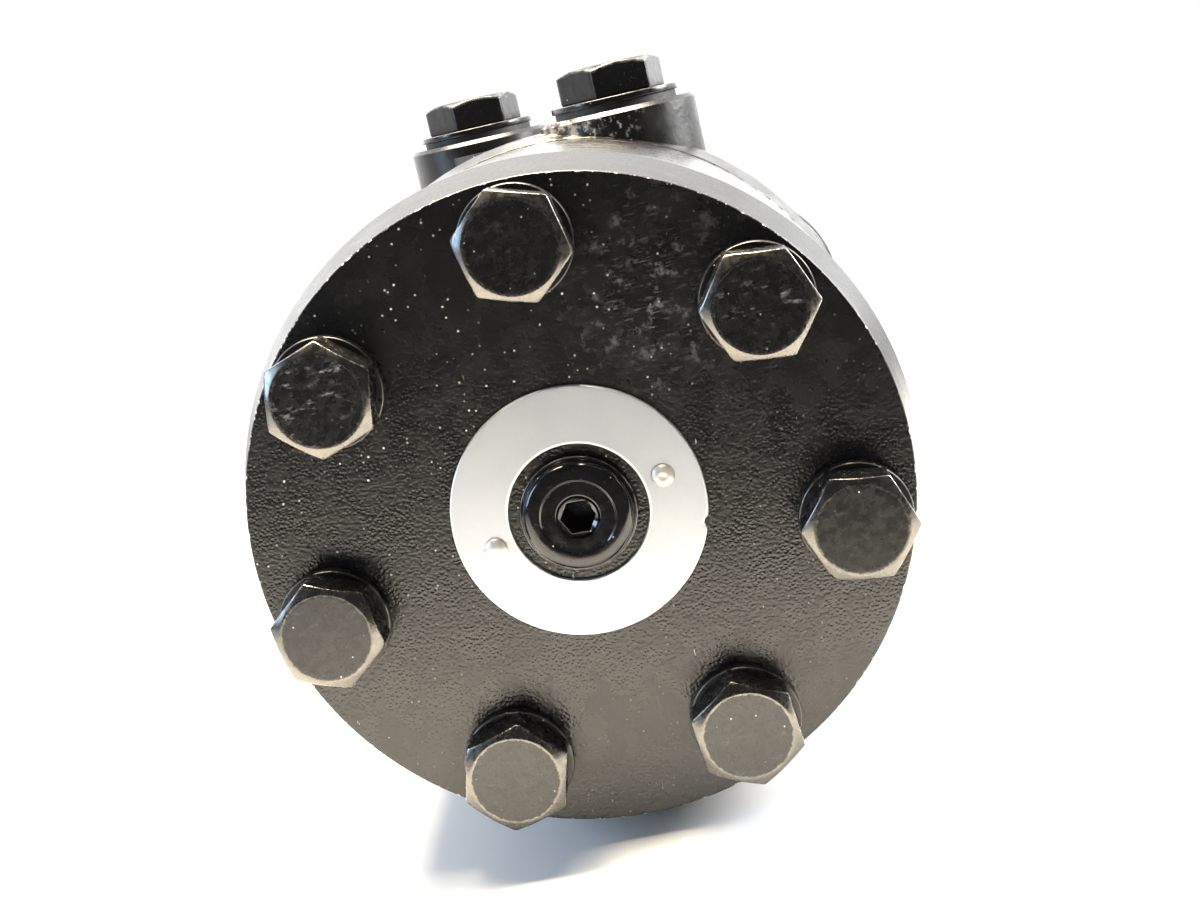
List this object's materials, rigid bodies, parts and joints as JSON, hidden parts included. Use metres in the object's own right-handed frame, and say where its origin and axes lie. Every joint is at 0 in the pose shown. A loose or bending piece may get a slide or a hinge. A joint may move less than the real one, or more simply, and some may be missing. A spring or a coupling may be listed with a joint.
{
  "type": "hydraulic motor",
  "caption": "Orbital hydraulic motor: round bolted plate stack behind a cast housing with two side ports, a two-eared mounting flange and a splined output shaft.",
  "frame": {"origin": "centre of the pilot in the plane of the mounting face", "axes": "+Y along the output shaft, out of the mounting face; +Z the way the ports open; the end cover faces -Y; +X to the right seen from the end cover"},
  "size_m": [0.13, 0.2814, 0.1247],
  "materials": {
    "cast_black": "gloss black paint over cast iron",
    "wrinkle_black": "semi-gloss black paint with a fine wrinkle texture",
    "stack_paint": "gloss black paint over turned steel, fine turning lines",
    "bolt_black": "blackened steel with worn bright corners",
    "washer_black": "blackened steel",
    "plate_aluminium": "matt aluminium with bright cut edges",
    "rivet_aluminium": "bright domed rivets",
    "plug_black": "gloss black",
    "port_plug_black": "dark gloss",
    "black_rubber": "matt rubber",
    "seal_polymer": "filled polymer",
    "bearing_steel": "ground and hardened",
    "cage_steel": "pressed steel",
    "ground_steel": "ground steel with a film of oil"
  },
  "bodies": {
    "casing": {"housing": "cast_black", "wear_plate": "stack_paint", "stator_ring": "stack_paint", "manifold": "stack_paint", "commutator_ring": "stack_paint", "end_cover": "wrinkle_black", "body_seals": "black_rubber", "cover_bolts": "bolt_black", "bolt_washers": "washer_black", "nameplate": "plate_aluminium", "nameplate_rivets": "rivet_aluminium", "drain_plug": "plug_black", "drain_plug_seal": "black_rubber", "front_needle_cup": "bearing_steel", "rear_needle_cup": "bearing_steel", "thrust_washer": "bearing_steel", "shaft_seal": "black_rubber", "seal_backup_washer": "bearing_steel", "dust_seal": "black_rubber", "port_plug_a": "port_plug_black", "port_plug_b": "port_plug_black", "port_plug_seals": "black_rubber"},
    "shaft": {"output_shaft": "ground_steel"},
    "front_needle_set": {"front_needles": "bearing_steel", "front_needle_cage": "cage_steel"},
    "rear_needle_set": {"rear_needles": "bearing_steel", "rear_needle_cage": "cage_steel"},
    "thrust_set": {"thrust_needles": "bearing_steel", "thrust_cage": "cage_steel"},
    "commutator": {"commutator": "ground_steel", "commutator_seal": "seal_polymer"},
    "rotor": {"rotor": "ground_steel"},
    "drive_link": {"drive_link": "ground_steel"},
    "roller_1": {"roller_1": "bearing_steel"},
    "roller_2": {"roller_2": "bearing_steel"},
    "roller_3": {"roller_3": "bearing_steel"},
    "roller_4": {"roller_4": "bearing_steel"},
    "roller_5": {"roller_5": "bearing_steel"},
    "roller_6": {"roller_6": "bearing_steel"},
    "roller_7": {"roller_7": "bearing_steel"}
  },
  "joints": [
    {"name": "shaft_spin", "type": "hinge", "parent": "casing", "child": "shaft", "pos_m": [0, 0, 0], "axis": [0, 1, 0], "continuous": true},
    {"name": "commutator_orbit", "type": "hinge", "parent": "casing", "child": "commutator", "pos_m": [0, -0.1925, 0], "axis": [0, 1, 0], "continuous": true},
    {"name": "rotor_spin", "type": "hinge", "parent": "commutator", "child": "rotor", "pos_m": [0, -0.166, -0.00316], "axis": [0, 1, 0], "continuous": true},
    {"name": "link_spin", "type": "hinge", "parent": "commutator", "child": "drive_link", "pos_m": [0, -0.092, 0], "axis": [0, 0.9991, 0.0427], "continuous": true},
    {"name": "front_needle_orbit", "type": "hinge", "parent": "casing", "child": "front_needle_set", "pos_m": [0, -0.023, 0], "axis": [0, 1, 0], "continuous": true},
    {"name": "rear_needle_orbit", "type": "hinge", "parent": "casing", "child": "rear_needle_set", "pos_m": [0, -0.102, 0], "axis": [0, 1, 0], "continuous": true},
    {"name": "thrust_needle_orbit", "type": "hinge", "parent": "casing", "child": "thrust_set", "pos_m": [0, -0.039, 0], "axis": [0, 1, 0], "continuous": true},
    {"name": "roller_1_spin", "type": "hinge", "parent": "casing", "child": "roller_1", "pos_m": [0, -0.166, -0.034], "axis": [0, 1, 0], "continuous": true},
    {"name": "roller_2_spin", "type": "hinge", "parent": "casing", "child": "roller_2", "pos_m": [0.02658, -0.166, -0.0212], "axis": [0, 1, 0], "continuous": true},
    {"name": "roller_3_spin", "type": "hinge", "parent": "casing", "child": "roller_3", "pos_m": [0.03315, -0.166, 0.00757], "axis": [0, 1, 0], "continuous": true},
    {"name": "roller_4_spin", "type": "hinge", "parent": "casing", "child": "roller_4", "pos_m": [0.01475, -0.166, 0.03063], "axis": [0, 1, 0], "continuous": true},
    {"name": "roller_5_spin", "type": "hinge", "parent": "casing", "child": "roller_5", "pos_m": [-0.01475, -0.166, 0.03063], "axis": [0, 1, 0], "continuous": true},
    {"name": "roller_6_spin", "type": "hinge", "parent": "casing", "child": "roller_6", "pos_m": [-0.03315, -0.166, 0.00757], "axis": [0, 1, 0], "continuous": true},
    {"name": "roller_7_spin", "type": "hinge", "parent": "casing", "child": "roller_7", "pos_m": [-0.02658, -0.166, -0.0212], "axis": [0, 1, 0], "continuous": true}
  ],
  "couplings": [
    {"joint": "commutator_orbit", "follows": "shaft_spin", "ratio": -6},
    {"joint": "rotor_spin", "follows": "shaft_spin", "ratio": 7},
    {"joint": "link_spin", "follows": "shaft_spin", "ratio": 7},
    {"joint": "front_needle_orbit", "follows": "shaft_spin", "ratio": 0.45407},
    {"joint": "rear_needle_orbit", "follows": "shaft_spin", "ratio": 0.46813},
    {"joint": "thrust_needle_orbit", "follows": "shaft_spin", "ratio": 0.5}
  ]
}
